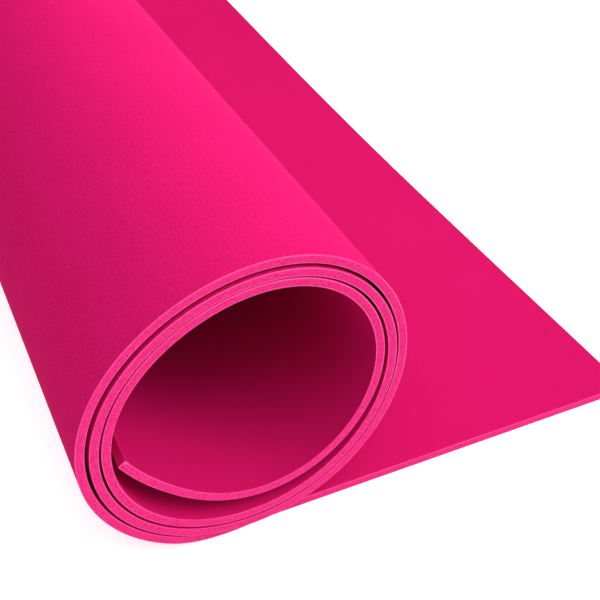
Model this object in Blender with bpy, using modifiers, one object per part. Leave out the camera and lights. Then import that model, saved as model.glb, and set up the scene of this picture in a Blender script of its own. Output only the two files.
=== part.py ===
"""A craft foam sheet: one sheet of soft foam, wound into a loose roll with its outer end lying flat.

The section is drawn in X and Z and runs along Y. A winding angle of 0 points straight down from the
roll's axis, and it grows as the foam climbs the left side, crosses the top and comes down the right.
"""

import math

import bmesh
import bpy

# The sheet itself, in metres
SHEET_LENGTH = 0.700
SHEET_WIDTH = 0.500
SHEET_THICKNESS = 0.00183

# How it is rolled: radii are to the middle of the foam
FLAT_LENGTH = 0.09765
ROLL_RADIUS = 0.03383
LAYER_GAP = 0.00058

# The roll isn't quite round: it leans along one slant, and its lower right is a little fuller
LEAN = 0.00109
LEAN_ANGLE = math.radians(58.8)
FULLNESS = 0.00029
FULLNESS_ANGLE = math.radians(-25.3)

# The second turn has settled to one side, closer to the outer turn on its lower right
SETTLE = 0.00047
SETTLE_ANGLE = math.radians(332.8)
SETTLE_FIRST_TURN = 0.5
SETTLE_LAST_TURN = 2.5

# The turns stand a little in front of the flat stretch's front edge, most of all on their left side.
# The edge starts to slide forward on the flat, a little before the roll.
SLIDE = 0.00205
SLIDE_SWAY = 0.00091
SWAY_ANGLE = math.radians(91.3)
SLIDE_LEAD = 0.0061
SLIDE_RUN = 0.0263

# The free inner end springs off the turn below it, most of all shortly before its edge
TAIL_LIFT = 0.00489
TAIL_ANGLE = math.radians(277.7)
TAIL_BIAS = 4.13
TAIL_SPAN = 0.99 * math.pi

# How finely the bends are cut into flats
STEP_ANGLE = math.radians(5.0)
SLIDE_STEPS = 4
SEARCH_STEP = math.radians(0.25)
SEARCH_REACH = math.radians(60.0)
SOLVER_ROUNDS = 40

FOAM_PINK = (0.745, 0.009, 0.138, 1.0)
FOAM_ROUGHNESS = 0.6


def clear_scene():
    for item in list(bpy.data.objects):
        bpy.data.objects.remove(item, do_unlink=True)


def tail_lift(angle, end_angle):
    """How far the free inner end has sprung inwards at this winding angle."""
    along = (angle - end_angle + TAIL_ANGLE) / TAIL_ANGLE
    if along <= 0:
        return 0.0
    return TAIL_LIFT * math.sin(TAIL_SPAN * along**TAIL_BIAS)


def settle_shift(angle):
    """How far the second turn stands out from the roll's axis for having slipped sideways."""
    through = (angle / math.tau - SETTLE_FIRST_TURN) / (SETTLE_LAST_TURN - SETTLE_FIRST_TURN)
    if not 0 < through < 1:
        return 0.0
    return SETTLE * math.cos(angle - SETTLE_ANGLE) * math.sin(math.pi * through) ** 2


def layer_radius(angle, end_angle):
    """Distance from the roll's axis to the middle of the foam."""
    wound = ROLL_RADIUS - (SHEET_THICKNESS + LAYER_GAP) * angle / math.tau
    lean = LEAN * math.cos(2 * (angle - LEAN_ANGLE))
    fullness = FULLNESS * math.cos(3 * (angle - FULLNESS_ANGLE))
    return wound + lean + fullness + settle_shift(angle) - tail_lift(angle, end_angle)


def section_point(angle, end_angle):
    radius = layer_radius(angle, end_angle)
    return (-radius * math.sin(angle), -radius * math.cos(angle))


def touch_angle():
    """Winding angle of the roll's lowest line, where the flat stretch runs into it."""
    steps = round(SEARCH_REACH / SEARCH_STEP)
    angles = [step * SEARCH_STEP for step in range(-steps, steps + 1)]
    return min(angles, key=lambda angle: section_point(angle, math.inf)[1])


def wound_section(start_angle, end_angle):
    """Points in X and Z along the middle of the foam, from the floor line to the inner edge."""
    steps = math.ceil((end_angle - start_angle) / STEP_ANGLE)
    turned = (end_angle - start_angle) / steps
    return [section_point(start_angle + step * turned, end_angle) for step in range(steps + 1)]


def path_length(points):
    return sum(math.dist(a, b) for a, b in zip(points, points[1:]))


def end_angle_for(start_angle, length):
    """Winding angle at which the roll has taken up this length of sheet."""
    low = start_angle + STEP_ANGLE
    high = start_angle + length / SHEET_THICKNESS
    high = min(high, math.tau * ROLL_RADIUS / (SHEET_THICKNESS + LAYER_GAP))
    for _ in range(SOLVER_ROUNDS):
        middle = (low + high) / 2
        if path_length(wound_section(start_angle, middle)) < length:
            low = middle
        else:
            high = middle
    return low


def front_slide(wound_length, angle):
    """How far the front edge has slid forward, this far past the roll's lowest line."""
    slid = min(max((wound_length + SLIDE_LEAD) / SLIDE_RUN, 0.0), 1.0)
    eased = slid * slid * (3 - 2 * slid)
    return eased * (SLIDE + SLIDE_SWAY * math.cos(angle - SWAY_ANGLE))


def front_edge():
    """Points in X, Y and Z along the front edge, from the far flat edge to the inner end."""
    start = touch_angle()
    end = end_angle_for(start, SHEET_LENGTH - FLAT_LENGTH)
    section = wound_section(start, end)
    floor_x, floor_z = section[0]
    points = [(floor_x + FLAT_LENGTH, 0.0, SHEET_THICKNESS / 2)]
    for step in range(SLIDE_STEPS):
        before = SLIDE_LEAD * (1 - step / SLIDE_STEPS)
        points.append((floor_x + before, -front_slide(-before, start), SHEET_THICKNESS / 2))

    lifted = SHEET_THICKNESS / 2 - floor_z
    turned = (end - start) / (len(section) - 1)
    wound_length = 0.0
    for step, (x, z) in enumerate(section):
        wound_length += math.dist(section[max(step - 1, 0)], (x, z))
        points.append((x, -front_slide(wound_length, start + step * turned), z + lifted))
    return points


def centred(points):
    """The same points with the sheet's footprint centred on the origin and its underside at Z 0."""
    left = min(x for x, _, _ in points) - SHEET_THICKNESS / 2
    right = max(x for x, _, _ in points)
    middle_x = (left + right) / 2
    middle_y = (min(y for _, y, _ in points) + SHEET_WIDTH) / 2
    return [(x - middle_x, y - middle_y, z) for x, y, z in points]


def foam_material():
    material = bpy.data.materials.new("foam_pink")
    material.use_nodes = True
    material.diffuse_color = FOAM_PINK
    shader = material.node_tree.nodes["Principled BSDF"]
    shader.inputs["Base Color"].default_value = FOAM_PINK
    shader.inputs["Roughness"].default_value = FOAM_ROUGHNESS
    shader.inputs["Metallic"].default_value = 0.0
    return material


def make_foam_sheet(collection):
    """The front edge swept across the sheet's width, then given the foam's thickness."""
    mesh = bpy.data.meshes.new("foam_sheet")
    strip = bmesh.new()
    front = [strip.verts.new(point) for point in centred(front_edge())]
    edges = [strip.edges.new(pair) for pair in zip(front, front[1:])]
    swept = bmesh.ops.extrude_edge_only(strip, edges=edges)["geom"]
    back = [item for item in swept if isinstance(item, bmesh.types.BMVert)]
    bmesh.ops.translate(strip, verts=back, vec=(0.0, SHEET_WIDTH, 0.0))
    strip.to_mesh(mesh)
    strip.free()
    mesh.materials.append(foam_material())

    sheet = bpy.data.objects.new("foam_sheet", mesh)
    collection.objects.link(sheet)
    thickness = sheet.modifiers.new("thickness", "SOLIDIFY")
    thickness.thickness = SHEET_THICKNESS
    thickness.offset = 0.0
    thickness.use_even_offset = True
    mesh.shade_smooth()
    return sheet


def build():
    clear_scene()
    collection = bpy.data.collections.new("craft_foam_sheet")
    bpy.context.scene.collection.children.link(collection)
    make_foam_sheet(collection)


build()
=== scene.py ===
"""Looks for the craft foam sheet: a loose roll of soft pink foam with its outer end lying flat."""

import math

import bpy
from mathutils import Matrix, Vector


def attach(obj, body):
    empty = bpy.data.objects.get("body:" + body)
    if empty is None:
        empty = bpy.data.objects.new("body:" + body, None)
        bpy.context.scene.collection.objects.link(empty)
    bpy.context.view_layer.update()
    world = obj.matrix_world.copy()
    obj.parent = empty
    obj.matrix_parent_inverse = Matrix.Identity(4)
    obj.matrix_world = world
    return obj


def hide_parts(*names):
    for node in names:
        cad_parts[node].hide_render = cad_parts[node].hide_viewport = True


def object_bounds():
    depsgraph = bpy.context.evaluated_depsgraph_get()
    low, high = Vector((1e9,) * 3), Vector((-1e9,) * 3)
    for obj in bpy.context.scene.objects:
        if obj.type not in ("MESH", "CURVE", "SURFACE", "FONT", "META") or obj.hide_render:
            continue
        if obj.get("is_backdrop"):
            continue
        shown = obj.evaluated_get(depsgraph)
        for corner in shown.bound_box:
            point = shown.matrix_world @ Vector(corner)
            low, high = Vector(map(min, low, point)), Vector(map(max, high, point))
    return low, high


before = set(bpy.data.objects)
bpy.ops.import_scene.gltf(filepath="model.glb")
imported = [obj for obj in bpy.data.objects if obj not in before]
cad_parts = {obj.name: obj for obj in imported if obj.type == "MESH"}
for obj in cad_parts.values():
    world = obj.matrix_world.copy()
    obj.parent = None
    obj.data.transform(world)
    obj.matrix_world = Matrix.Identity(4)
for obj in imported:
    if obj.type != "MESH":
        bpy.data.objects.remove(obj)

LOWEST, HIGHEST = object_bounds()

# The sheet itself, in metres
SHEET_LENGTH = 0.700
SHEET_WIDTH = 0.500
SHEET_THICKNESS = 0.00183

# The roll's sizes, the same as the solid's, in metres and radians. The free end of the flat stretch
# and the front edge are where the solid has them, and the roll ends where its rule uses up the sheet.
ROLL_SIZES = {
    "Sheet Length": SHEET_LENGTH,
    "Sheet Width": SHEET_WIDTH,
    "Thickness": SHEET_THICKNESS,
    "Flat End X": HIGHEST[0],
    "Front Y": HIGHEST[1] - SHEET_WIDTH,
    "Start Angle": math.radians(1.25),
    "End Angle": math.radians(1164.526),
    "Flat Length": 0.09765,
    "Roll Radius": 0.03383,
    "Layer Gap": 0.00058,
    "Lean": 0.00109,
    "Lean Angle": math.radians(58.8),
    "Fullness": 0.00029,
    "Fullness Angle": math.radians(-25.3),
    "Settle": 0.00047,
    "Settle Angle": math.radians(332.8),
    "Tail Lift": 0.00489,
    "Tail Angle": math.radians(277.7),
    "Slide": 0.00205,
    "Slide Sway": 0.00091,
    "Sway Angle": math.radians(91.3),
    "Slide Lead": 0.0061,
    "Slide Run": 0.0263,
    # Softer shapes that only the looks have
    "Cut Slant": 0.08,
    "Edge Radius": 0.00006,
    "Free Edge Bow": 0.0006,
    "Bow Length": 0.075,
    "Free Edge Lift": 0.0084,
    "Lift Reach": 0.075,
    "Lift Start": 0.095,
    "Lift End": 0.400,
}

# Fixed figures of the same rules: the turns that settle, how the inner end springs, and how much
# of the free edge's bow is there at the front
SETTLE_FIRST_TURN = 0.5
SETTLE_LAST_TURN = 2.5
TAIL_BIAS = 4.13
TAIL_SPAN = 0.99 * math.pi
BOW_AT_FRONT = 0.55

# How finely the mesh is cut: rows along the sheet, across it and through it
ROWS = (760, 44, 7)
PATH_POINTS = 1400
BLOCK_SIDE = 1.0

# Halfway from one row or point to the next, and the figure above which a mark holds
HALF_STEP = 0.5
MARK_LIMIT = 0.5

# Rows that crowd towards a cut edge: how many, and how their distances from it grow, in edge radii
EDGE_ROWS = (4, 4, 2)
EDGE_ROW_FIRST = 0.45
EDGE_ROW_GROWTH = 0.08
CORNER_SHARE = 1.0 - math.sqrt(0.5)

# Foam colours, linear
OUTER_PINK = (0.625, 0.0096, 0.136, 1.0)
OUTER_PINK_DEEP = (0.455, 0.0042, 0.080, 1.0)
INNER_PINK = (0.462, 0.0056, 0.091, 1.0)
INNER_PINK_DEEP = (0.426, 0.0043, 0.080, 1.0)
CUT_PINK = (0.64, 0.029, 0.176, 1.0)
CUT_PINK_DEEP = (0.40, 0.006, 0.088, 1.0)
# The sheet's two ends take a darker pink: painted shade, standing in for the shadow on the roll's
# inner end
END_SHADE_PINK = (0.40, 0.0035, 0.066, 1.0)
END_SHADE_PINK_DEEP = (0.34, 0.0025, 0.054, 1.0)
# Open pores: a dark pink that is painted shade inside each hollow
PORE_SHADE_PINK = (0.20, 0.001, 0.028, 1.0)
# Pale pink for the torn-cell specks, and for the painted highlight along the edges
SPECK_AND_HIGHLIGHT_PINK = (0.80, 0.12, 0.33, 1.0)
WHITE = (1.0, 1.0, 1.0, 1.0)

# The foam's cells, in millimetres: a fine grain, a slow drift of the colour, and open pores, whose
# radius is in pore spacings and whose drop in the relief is set against the grain's; their darker
# pink is painted shade in the hollows
MM_PER_METRE = 1000.0
GRAIN_NOISE = {"Detail": 2.0, "Roughness": 0.6}
DRIFT_NOISE = {"Scale": 0.045, "Detail": 2.0, "Roughness": 0.5}
NOISE_LOW = 0.3
NOISE_HIGH = 0.7
PORE_RADIUS = 0.26
PORE_STEEPNESS = 2.0
PORE_DROP = 0.8

# The painted highlight along every edge, a pale band where the rounded edges catch the light: its
# width in metres, and the share of it that never fades
RIM_WIDTH = 0.00028
RIM_STEADY = 0.15

# Where a Mix node that is set to colours takes its two colours, and where it gives the result
MIX_COLOUR_INPUTS = (6, 7)
MIX_COLOUR_OUTPUT = 2

# What all the finishes have alike
GLOSS = 0.001
ROUGHNESS_SPREAD = 0.06

# The figures of a finish that its cells take
CELL_FIGURES = ("Grain Size mm", "Pore Spacing mm", "Pore Share", "Speck Share")

# Each side's finish: sizes in millimetres, the relief in metres and the other figures as shares.
# Pale specks are torn cells, which only the long cut faces have.
FINISHES = {
    "Outer Skin": {
        "Light": OUTER_PINK,
        "Deep": OUTER_PINK_DEEP,
        "Grain Size mm": 0.36,
        "Pore Spacing mm": 0.7,
        "Pore Share": 0.2,
        "Pore Shade": 0.3,
        "Speck Share": 0.0,
        "Speck Depth": 0.0,
        "Mottle": 0.9,
        "Drift": 0.1,
        "Rim Highlight": 0.5,
        "Relief": 0.00005,
        "Roughness": 0.6,
    },
    "Inner Skin": {
        "Light": INNER_PINK,
        "Deep": INNER_PINK_DEEP,
        "Grain Size mm": 0.42,
        "Pore Spacing mm": 0.7,
        "Pore Share": 0.05,
        "Pore Shade": 0.1,
        "Speck Share": 0.0,
        "Speck Depth": 0.0,
        "Mottle": 0.5,
        "Drift": 0.3,
        "Rim Highlight": 0.12,
        "Relief": 0.00002,
        "Roughness": 0.6,
    },
    "Cut Edge": {
        "Light": CUT_PINK,
        "Deep": CUT_PINK_DEEP,
        "Grain Size mm": 0.34,
        "Pore Spacing mm": 0.60,
        "Pore Share": 0.45,
        "Pore Shade": 0.8,
        "Speck Share": 0.25,
        "Speck Depth": 0.4,
        "Mottle": 0.7,
        "Drift": 0.1,
        "Rim Highlight": 1.0,
        "Relief": 0.00006,
        "Roughness": 0.7,
    },
    # The sheet's two ends, in a darker pink that is painted shade
    "Shaded End": {
        "Light": END_SHADE_PINK,
        "Deep": END_SHADE_PINK_DEEP,
        "Grain Size mm": 0.42,
        "Pore Spacing mm": 0.7,
        "Pore Share": 0.15,
        "Pore Shade": 0.5,
        "Speck Share": 0.0,
        "Speck Depth": 0.0,
        "Mottle": 0.7,
        "Drift": 0.2,
        "Rim Highlight": 0.1,
        "Relief": 0.00004,
        "Roughness": 0.7,
    },
}

# The mark on the faces that take a finish. The outer skin goes on all of them first.
FACE_MARKS = {
    "Inner Skin": "inner_face",
    "Cut Edge": "cut_face",
    "Shaded End": "end_face",
}

# The studio: a glowing white floor, a backdrop that looks white but sheds little light, and soft
# lights at an azimuth from +X and a height in degrees, with their power in watts
FLOOR_REACH = 1.5
FLOOR_CORNERS = 96
FLOOR_CLEARANCE = 0.0001
FLOOR_FINISH = {
    "Base Color": (0.70, 0.70, 0.70, 1.0),
    "Roughness": 0.9,
    "Specular IOR Level": 0.1,
    "Emission Color": WHITE,
    "Emission Strength": 0.62,
}
BACKDROP_GLOW = 0.18
BACKDROP_SEEN = 1.0
LIGHT_SIZE = 1.1
LIGHT_DISTANCE = 1.7
SOFT_LIGHTS = {
    "back_right": (45, 28, 20.4),
    "back": (75, 28, 6.7),
    "front_right": (315, 28, 15.5),
    "front": (270, 40, 8.7),
    "front_high": (300, 58, 10.4),
    "front_left_high": (240, 58, 5.7),
    "back_left_high": (120, 58, 6.3),
}

# The photograph's view, worked out from its vanishing points: the camera's place in metres, the
# azimuth and the slope in degrees that it looks along, and its lens and sensor in millimetres
CAMERA_PLACE = (-0.082685, -0.383429, 0.168657)
CAMERA_AZIMUTH = 65.273
CAMERA_SLOPE = -37.354
CAMERA_LENS = 61.688
CAMERA_SENSOR = 36.0
CAMERA_NEAREST = 0.01


class Figure:
    """One number of a node tree, for writing the roll's rule as ordinary sums."""

    def __init__(self, tree, socket):
        self.tree = tree
        self.socket = socket

    def worked(self, operation, *others):
        node = self.tree.nodes.new("ShaderNodeMath")
        node.operation = operation
        for slot, item in zip(node.inputs, (self, *others)):
            feed(self.tree, slot, item)
        return Figure(self.tree, node.outputs[0])

    def __add__(self, other):
        return self.worked("ADD", other)

    def __sub__(self, other):
        return self.worked("SUBTRACT", other)

    def __mul__(self, other):
        return self.worked("MULTIPLY", other)

    def __truediv__(self, other):
        return self.worked("DIVIDE", other)

    def __pow__(self, other):
        return self.worked("POWER", other)

    def __neg__(self):
        return self * -1.0

    def __rsub__(self, other):
        return -self + other

    __radd__ = __add__
    __rmul__ = __mul__

    def cos(self):
        return self.worked("COSINE")

    def sin(self):
        return self.worked("SINE")

    def root(self):
        return self.worked("SQRT")

    def unsigned(self):
        return self.worked("ABSOLUTE")

    def above(self, limit):
        return self.worked("GREATER_THAN", limit)

    def below(self, limit):
        return self.worked("LESS_THAN", limit)

    def most(self, other):
        return self.worked("MAXIMUM", other)

    def least(self, other):
        return self.worked("MINIMUM", other)

    def kept_in(self, low=0.0, high=1.0):
        return self.most(low).least(high)

    def stretched(self, low, high):
        """The same figure, with low moved to 0 and high to 1 and nothing outside."""
        return ((self - low) / (high - low)).kept_in()

    def eased(self):
        """Smooth rise from 0 to 1, flat at both ends."""
        slid = self.kept_in()
        return slid * slid * (3.0 - 2.0 * slid)


def feed(tree, slot, item):
    """Links an output to an input, or sets the input's own value."""
    if isinstance(item, Figure):
        item = item.socket
    if isinstance(item, bpy.types.NodeSocket):
        tree.links.new(item, slot)
    else:
        slot.default_value = item


def add_node(tree, kind, inputs=None, **settings):
    """A new node with its settings made and its inputs fed."""
    node = tree.nodes.new(kind)
    for name, value in settings.items():
        setattr(node, name, value)
    for name, item in (inputs or {}).items():
        feed(tree, node.inputs[name], item)
    return node


def add_object(name, data):
    """A new object in the scene."""
    thing = bpy.data.objects.new(name, data)
    bpy.context.scene.collection.objects.link(thing)
    return thing


def vector_of(tree, **parts):
    """A vector put together from its X, Y and Z, where a part that isn't named is 0."""
    return add_node(tree, "ShaderNodeCombineXYZ", parts).outputs[0]


def parts_of(tree, vector):
    """The X, Y and Z of a vector."""
    node = add_node(tree, "ShaderNodeSeparateXYZ", {"Vector": vector})
    return [Figure(tree, output) for output in node.outputs]


def vector_worked(tree, operation, first, second):
    """The result of one sum on two vectors."""
    inputs = {0: first, 1: second}
    return add_node(tree, "ShaderNodeVectorMath", inputs, operation=operation).outputs[0]


def scaled(tree, vector, factor):
    """The vector times a figure."""
    inputs = {0: vector, "Scale": factor}
    return add_node(tree, "ShaderNodeVectorMath", inputs, operation="SCALE").outputs[0]


def stored(tree, geometry, name, domain, value):
    """The geometry with a named figure of its own added."""
    inputs = {"Geometry": geometry, "Name": name, "Value": value}
    node = add_node(
        tree, "GeometryNodeStoreNamedAttribute", inputs, data_type="FLOAT", domain=domain
    )
    return node.outputs["Geometry"]


def own_figure(tree, name):
    """A figure that the geometry carries under a name."""
    node = add_node(tree, "GeometryNodeInputNamedAttribute", {"Name": name}, data_type="FLOAT")
    return Figure(tree, node.outputs["Attribute"])


def put_at(tree, geometry, place):
    """The geometry with each point moved to its own place."""
    inputs = {"Geometry": geometry, "Position": place}
    return add_node(tree, "GeometryNodeSetPosition", inputs).outputs["Geometry"]


def roll_radius_at(angle, sizes):
    """Distance from the roll's axis to the middle of the foam at a winding angle."""
    turns = angle / math.tau
    wound = sizes["Roll Radius"] - (sizes["Thickness"] + sizes["Layer Gap"]) * turns
    lean = sizes["Lean"] * (2.0 * (angle - sizes["Lean Angle"])).cos()
    fullness = sizes["Fullness"] * (3.0 * (angle - sizes["Fullness Angle"])).cos()

    settling = turns.stretched(SETTLE_FIRST_TURN, SETTLE_LAST_TURN)
    settle_share = (settling * math.pi).sin() ** 2.0
    settle = sizes["Settle"] * (angle - sizes["Settle Angle"]).cos() * settle_share

    along_tail = (angle - sizes["End Angle"] + sizes["Tail Angle"]) / sizes["Tail Angle"]
    tail = sizes["Tail Lift"] * (TAIL_SPAN * along_tail.most(0.0) ** TAIL_BIAS).sin()
    return wound + lean + fullness + settle - tail


def make_path(tree, sizes):
    """The middle line of the foam as a curve, from the flat end round to the free inner end."""
    index = Figure(tree, tree.nodes.new("GeometryNodeInputIndex").outputs[0])
    start = sizes["Start Angle"]
    turned = (sizes["End Angle"] - start) / (PATH_POINTS - 2.0)
    angle = start + (index - 1.0).most(0.0) * turned

    # The roll touches the floor at its start angle, and the flat stretch runs on from there
    start_radius = roll_radius_at(start, sizes)
    axis_x = sizes["Flat End X"] - sizes["Flat Length"] + start_radius * start.sin()
    axis_z = sizes["Thickness"] * 0.5 + start_radius * start.cos()
    radius = roll_radius_at(angle, sizes)
    on_flat = index.below(HALF_STEP)
    line_x = axis_x - radius * angle.sin() + sizes["Flat Length"] * on_flat
    line_z = axis_z - radius * angle.cos()

    line = add_node(tree, "GeometryNodeMeshLine", {"Count": PATH_POINTS}).outputs["Mesh"]
    laid = put_at(tree, line, vector_of(tree, X=line_x, Z=line_z))
    angled = stored(tree, laid, "winding_angle", "POINT", angle)
    return add_node(tree, "GeometryNodeMeshToCurve", {"Mesh": angled}).outputs["Curve"]


def make_block(tree):
    """A closed block with a row of points for each row of the sheet."""
    inputs = {"Size": (BLOCK_SIDE, BLOCK_SIDE, BLOCK_SIDE)}
    for axis, rows in zip("XYZ", ROWS):
        inputs[f"Vertices {axis}"] = rows
    return add_node(tree, "GeometryNodeMeshCube", inputs).outputs["Mesh"]


def edge_gap(rows_in, radius):
    """Distance from a cut edge of a row that is this many rows in, where the rows crowd together."""
    return radius * rows_in * (EDGE_ROW_FIRST + EDGE_ROW_GROWTH * rows_in)


def spaced_rows(row, axis, size, radius):
    """A row's place along one side of the block: even, but crowded towards both ends."""
    crowded = EDGE_ROWS[axis]
    rows_left = (ROWS[axis] - 1.0) - row
    at_start = edge_gap(row.least(crowded), radius)
    at_end = edge_gap(rows_left.least(crowded), radius)
    even_rows = ROWS[axis] - 1.0 - 2.0 * crowded
    evenly = ((row - crowded) / even_rows).kept_in()
    crowded_size = edge_gap(crowded, radius)
    return at_start + evenly * (size - 2.0 * crowded_size) + crowded_size - at_end


def way_in(row, axis):
    """1 on the first row and -1 on the last, which is the way that points inwards, and 0 between."""
    return row.below(HALF_STEP) - row.above(ROWS[axis] - 1.0 - HALF_STEP)


def edge_distance(place, size):
    """Distance from the nearer of the two ends."""
    return place.least(size - place)


def rounded_in(distance, radius):
    """How far a round edge stands in from the sharp one, at a distance from it along a face."""
    inside = 1.0 - (distance.most(CORNER_SHARE * radius) / radius).least(1.0)
    return radius * (1.0 - (1.0 - inside * inside).root())


def flat_places(tree, sizes):
    """Each point's place along, across and out of the flat sheet, and how far it is from the rim."""
    position = tree.nodes.new("GeometryNodeInputPosition").outputs[0]
    lengths = (sizes["Sheet Length"], sizes["Sheet Width"], sizes["Thickness"])
    radius = sizes["Edge Radius"]
    block_places = parts_of(tree, position)
    row = [(block_places[axis] + BLOCK_SIDE / 2) * (ROWS[axis] - 1.0) for axis in range(3)]
    sharp = [spaced_rows(row[axis], axis, lengths[axis], radius) for axis in range(3)]
    from_edge = [edge_distance(sharp[axis], lengths[axis]) for axis in range(3)]
    from_cut = from_edge[0].least(from_edge[1])
    round_cut = rounded_in(from_edge[2], radius)
    along = sharp[0] + way_in(row[0], 0) * round_cut
    across = sharp[1] + way_in(row[1], 1) * round_cut
    through = sharp[2] + way_in(row[2], 2) * rounded_in(from_cut, radius)
    out = through - sizes["Thickness"] * 0.5
    rim_distance = from_cut.most(from_edge[2].least(from_edge[0].most(from_edge[1])))
    return along, across, out, rim_distance


def marked_faces(tree, mesh):
    """The flat block with its inner, cut and end faces marked, told by the way they face."""
    normal = tree.nodes.new("GeometryNodeInputNormal").outputs[0]
    faces_along, faces_across, faces_out = parts_of(tree, normal)
    shares = {
        "Inner Skin": -faces_out,
        "Cut Edge": faces_across.unsigned(),
        "Shaded End": faces_along.unsigned(),
    }
    for finish, share in shares.items():
        mesh = stored(tree, mesh, FACE_MARKS[finish], "FACE", share.above(MARK_LIMIT))
    return mesh


def rolled_places(tree, sizes, path, along, across, out):
    """Where each point of the flat sheet goes: on the path at its own distance along it."""
    inputs = {"Curves": path, "Value": own_figure(tree, "winding_angle"), "Length": along}
    sample = add_node(tree, "GeometryNodeSampleCurve", inputs, mode="LENGTH")
    roll_axis = (0.0, 1.0, 0.0)
    outward = vector_worked(tree, "CROSS_PRODUCT", sample.outputs["Tangent"], roll_axis)
    stood_out = scaled(tree, outward, out)
    on_path = vector_worked(tree, "ADD", sample.outputs["Position"], stood_out)

    # The turns slide forward, and the cut faces slant a little
    sway = (Figure(tree, sample.outputs["Value"]) - sizes["Sway Angle"]).cos()
    slid = ((along - sizes["Flat Length"] + sizes["Slide Lead"]) / sizes["Slide Run"]).eased()
    slide = slid * (sizes["Slide"] + sizes["Slide Sway"] * sway)
    shift_y = sizes["Front Y"] + across - slide - sizes["Cut Slant"] * out

    # The free edge of the flat stretch bows in, and lifts off the floor towards the back
    near_free_edge = (1.0 - along / sizes["Lift Reach"]).kept_in() ** 2.0
    bowed = BOW_AT_FRONT + (1.0 - BOW_AT_FRONT) * (across / sizes["Bow Length"]).eased()
    shift_x = -sizes["Free Edge Bow"] * near_free_edge * bowed
    towards_back = (across - sizes["Lift Start"]) / (sizes["Lift End"] - sizes["Lift Start"])
    shift_z = sizes["Free Edge Lift"] * near_free_edge * towards_back.eased()
    shift = vector_of(tree, X=shift_x, Y=shift_y, Z=shift_z)
    return vector_worked(tree, "ADD", on_path, shift)


def finished_sides(tree, geometry, finishes):
    """Each side in its own finish: the outer skin all over, and then the marked faces."""
    for name, material in finishes.items():
        inputs = {"Geometry": geometry, "Material": material}
        node = add_node(tree, "GeometryNodeSetMaterial", inputs)
        if name in FACE_MARKS:
            chosen = own_figure(tree, FACE_MARKS[name]).above(MARK_LIMIT)
            feed(tree, node.inputs["Selection"], chosen)
        geometry = node.outputs["Geometry"]
    return geometry


def make_roll_tree():
    """The node tree that bends a flat sheet of foam into the roll, and its input identifiers."""
    tree = bpy.data.node_groups.new("rolled_foam_sheet", "GeometryNodeTree")
    tree.interface.new_socket("Geometry", in_out="INPUT", socket_type="NodeSocketGeometry")
    tree.interface.new_socket("Geometry", in_out="OUTPUT", socket_type="NodeSocketGeometry")
    kinds = {name: "NodeSocketFloat" for name in ROLL_SIZES}
    kinds.update({name: "NodeSocketMaterial" for name in FINISHES})
    identifiers = {}
    for name, kind in kinds.items():
        socket = tree.interface.new_socket(name, in_out="INPUT", socket_type=kind)
        identifiers[name] = socket.identifier
    given = tree.nodes.new("NodeGroupInput")
    sizes = {name: Figure(tree, given.outputs[name]) for name in ROLL_SIZES}
    finishes = {name: given.outputs[name] for name in FINISHES}

    path = make_path(tree, sizes)
    along, across, out, rim_distance = flat_places(tree, sizes)
    marked = marked_faces(tree, make_block(tree))
    rimmed = stored(tree, marked, "rim_distance", "POINT", rim_distance)
    rolled = put_at(tree, rimmed, rolled_places(tree, sizes, path, along, across, out))
    smooth = add_node(tree, "GeometryNodeSetShadeSmooth", {"Geometry": rolled})
    real = add_node(tree, "GeometryNodeRealizeInstances", {"Geometry": smooth.outputs["Geometry"]})
    end = tree.nodes.new("NodeGroupOutput")
    feed(tree, end.inputs["Geometry"], finished_sides(tree, real.outputs["Geometry"], finishes))
    return tree, identifiers


def make_foam_cells_group():
    """Fine closed cells of the foam: mottling, small relief, and sparse open pores and specks."""
    group = bpy.data.node_groups.new("foam_cells", "ShaderNodeTree")
    group.interface.new_socket("Place", in_out="INPUT", socket_type="NodeSocketVector")
    for name in CELL_FIGURES:
        group.interface.new_socket(name, in_out="INPUT", socket_type="NodeSocketFloat")
    for name in ("Mottle", "Drift", "Pores", "Specks", "Height"):
        group.interface.new_socket(name, in_out="OUTPUT", socket_type="NodeSocketFloat")
    given = group.nodes.new("NodeGroupInput")
    in_mm = scaled(group, given.outputs["Place"], MM_PER_METRE)
    grain_size, pore_spacing, pore_share, speck_share = (
        Figure(group, given.outputs[name]) for name in CELL_FIGURES
    )

    grain_inputs = {"Vector": in_mm, "Scale": grain_size**-1.0, **GRAIN_NOISE}
    grain = add_node(group, "ShaderNodeTexNoise", grain_inputs)
    drift = add_node(group, "ShaderNodeTexNoise", {"Vector": in_mm, **DRIFT_NOISE})
    cell_inputs = {"Vector": in_mm, "Scale": pore_spacing**-1.0, "Randomness": 1.0}
    cells = add_node(group, "ShaderNodeTexVoronoi", cell_inputs, feature="F1")

    # Each cell draws its own chance: a low one opens a pore in it, and a high one makes a pale speck
    drawn = add_node(group, "ShaderNodeSeparateColor", {"Color": cells.outputs["Color"]})
    chance = Figure(group, drawn.outputs[0])
    from_middle = Figure(group, cells.outputs["Distance"]) / PORE_RADIUS
    near_middle = ((1.0 - from_middle) * PORE_STEEPNESS).kept_in()
    mottle = Figure(group, grain.outputs[0])
    pores = near_middle * chance.below(pore_share)
    specks = near_middle * chance.above(1.0 - speck_share)

    end = group.nodes.new("NodeGroupOutput")
    feed(group, end.inputs["Mottle"], mottle)
    feed(group, end.inputs["Drift"], Figure(group, drift.outputs[0]))
    feed(group, end.inputs["Pores"], pores)
    feed(group, end.inputs["Specks"], specks)
    feed(group, end.inputs["Height"], mottle - pores * PORE_DROP)
    return group


def mixed_colour(tree, share, first, second):
    """The first colour where the share is 0, and the second where it is 1."""
    node = add_node(tree, "ShaderNodeMix", {"Factor": share}, data_type="RGBA")
    for slot, colour in zip(MIX_COLOUR_INPUTS, (first, second)):
        feed(tree, node.inputs[slot], colour)
    return node.outputs[MIX_COLOUR_OUTPUT]


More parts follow.
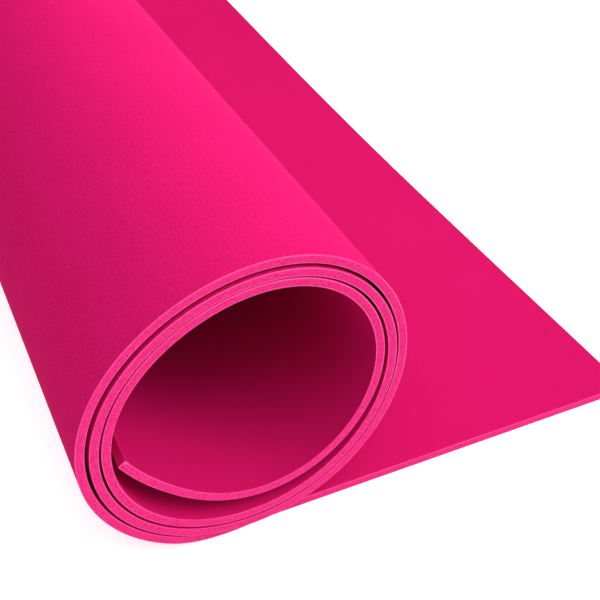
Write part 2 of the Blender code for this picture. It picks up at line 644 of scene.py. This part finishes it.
def make_foam_material(name, cells, values):
    """A foam finish: two close pinks mottled by the cells, pores darkened by painted shade, and a
    painted highlight along the edges.
    """
    material = bpy.data.materials.new(name)
    material.use_nodes = True
    tree = material.node_tree
    shader = tree.nodes["Principled BSDF"]
    grain = tree.nodes.new("ShaderNodeGroup")
    grain.node_tree = cells
    feed(tree, grain.inputs["Place"], add_node(tree, "ShaderNodeTexCoord").outputs["Object"])
    for key in CELL_FIGURES:
        grain.inputs[key].default_value = values[key]
    mottle = Figure(tree, grain.outputs["Mottle"]).stretched(NOISE_LOW, NOISE_HIGH)
    drift = Figure(tree, grain.outputs["Drift"]).stretched(NOISE_LOW, NOISE_HIGH)
    pores = Figure(tree, grain.outputs["Pores"])
    specks = Figure(tree, grain.outputs["Specks"])
    to_rim = add_node(
        tree, "ShaderNodeAttribute", attribute_name="rim_distance", attribute_type="GEOMETRY"
    )
    # The painted highlight: a pale pink band along every edge, where the rounded edges catch the
    # light
    near_rim = (1.0 - Figure(tree, to_rim.outputs["Fac"]) / RIM_WIDTH).kept_in()
    rim = near_rim * values["Rim Highlight"] * (RIM_STEADY + (1.0 - RIM_STEADY) * drift)

    deep_share = mottle * values["Mottle"] + drift * values["Drift"]
    colour = mixed_colour(tree, deep_share, values["Light"], values["Deep"])
    # The open pores darkened: painted shade in their hollows
    colour = mixed_colour(tree, pores * values["Pore Shade"], colour, PORE_SHADE_PINK)
    colour = mixed_colour(tree, specks * values["Speck Depth"], colour, SPECK_AND_HIGHLIGHT_PINK)
    colour = mixed_colour(tree, rim, colour, SPECK_AND_HIGHLIGHT_PINK)
    feed(tree, shader.inputs["Base Color"], colour)

    height = Figure(tree, grain.outputs["Height"])
    bump_inputs = {"Height": height, "Distance": values["Relief"], "Strength": 1.0}
    bump = add_node(tree, "ShaderNodeBump", bump_inputs)
    feed(tree, shader.inputs["Normal"], bump.outputs["Normal"])
    feed(tree, shader.inputs["Roughness"], mottle * ROUGHNESS_SPREAD + values["Roughness"])
    shader.inputs["Specular IOR Level"].default_value = GLOSS
    return material


def make_foam_materials():
    """One material for each finish, named after it."""
    cells = make_foam_cells_group()
    materials = {}
    for name, values in FINISHES.items():
        plain_name = name.lower().replace(" ", "_")
        materials[name] = make_foam_material(f"foam_{plain_name}", cells, values)
    return materials


def make_foam_piece(materials):
    """The rolled sheet as a plain mesh at the origin."""
    tree, identifiers = make_roll_tree()
    blank = add_object("foam_blank", bpy.data.meshes.new("foam_blank"))
    rolling = blank.modifiers.new("rolling", "NODES")
    rolling.node_group = tree
    for name, size in ROLL_SIZES.items():
        rolling[identifiers[name]] = float(size)
    for name, material in materials.items():
        rolling[identifiers[name]] = material
    graph = bpy.context.evaluated_depsgraph_get()
    mesh = bpy.data.meshes.new_from_object(blank.evaluated_get(graph))
    mesh.name = "rolled_foam_sheet"
    bpy.data.objects.remove(blank, do_unlink=True)
    return add_object("rolled_foam_sheet", mesh)


def make_floor():
    """A plain round white floor that glows a little, as an overexposed studio table does."""
    mesh = bpy.data.meshes.new("studio_floor")
    turns = [math.tau * corner / FLOOR_CORNERS for corner in range(FLOOR_CORNERS)]
    corners = [(FLOOR_REACH * math.cos(turn), FLOOR_REACH * math.sin(turn), 0.0) for turn in turns]
    mesh.from_pydata(corners, [], [range(FLOOR_CORNERS)])
    floor = add_object("studio_floor", mesh)
    floor.location.z = -FLOOR_CLEARANCE
    material = bpy.data.materials.new("floor_white")
    material.use_nodes = True
    shader = material.node_tree.nodes["Principled BSDF"]
    for name, value in FLOOR_FINISH.items():
        shader.inputs[name].default_value = value
    mesh.materials.append(material)
    floor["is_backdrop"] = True


def way_along(azimuth, height):
    """The direction at an azimuth from +X and a height above the floor, both in degrees."""
    turn = math.radians(azimuth)
    rise = math.radians(height)
    level = math.cos(rise)
    return Vector((math.cos(turn) * level, math.sin(turn) * level, math.sin(rise)))


def look_along(thing, way):
    """Turns a light or a camera to face this way, with its top up."""
    thing.rotation_euler = way.to_track_quat("-Z", "Y").to_euler()


def make_soft_light(name, azimuth, height, power):
    """A round soft light that faces the roll, placed by its angles from +X and from the floor."""
    data = bpy.data.lights.new(name, "AREA")
    data.shape = "DISK"
    data.size = LIGHT_SIZE
    data.energy = power
    light = add_object(name, data)
    away = way_along(azimuth, height)
    light.location = away * LIGHT_DISTANCE
    look_along(light, -away)


def make_studio():
    """The soft lights, and the backdrop, which is brighter to the camera than to the foam."""
    world = bpy.data.worlds.new("studio")
    world.use_nodes = True
    tree = world.node_tree
    backdrop = tree.nodes["Background"]
    backdrop.inputs["Color"].default_value = WHITE
    seen = Figure(tree, tree.nodes.new("ShaderNodeLightPath").outputs["Is Camera Ray"])
    strength = seen * (BACKDROP_SEEN - BACKDROP_GLOW) + BACKDROP_GLOW
    feed(tree, backdrop.inputs["Strength"], strength)
    bpy.context.scene.world = world
    for name, (azimuth, height, power) in SOFT_LIGHTS.items():
        make_soft_light(name, azimuth, height, power)
    bpy.context.scene.view_settings.view_transform = "Standard"


def make_camera():
    """The photograph's view."""
    data = bpy.data.cameras.new("camera")
    data.sensor_width = CAMERA_SENSOR
    data.lens = CAMERA_LENS
    data.clip_start = CAMERA_NEAREST
    camera = add_object("camera", data)
    camera.location = CAMERA_PLACE
    look_along(camera, way_along(CAMERA_AZIMUTH, CAMERA_SLOPE))
    bpy.context.scene.camera = camera


make_camera()
foam_sheet = make_foam_piece(make_foam_materials())
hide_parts("foam_sheet")
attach(foam_sheet, "root")
make_floor()
make_studio()

LOWEST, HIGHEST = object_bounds()
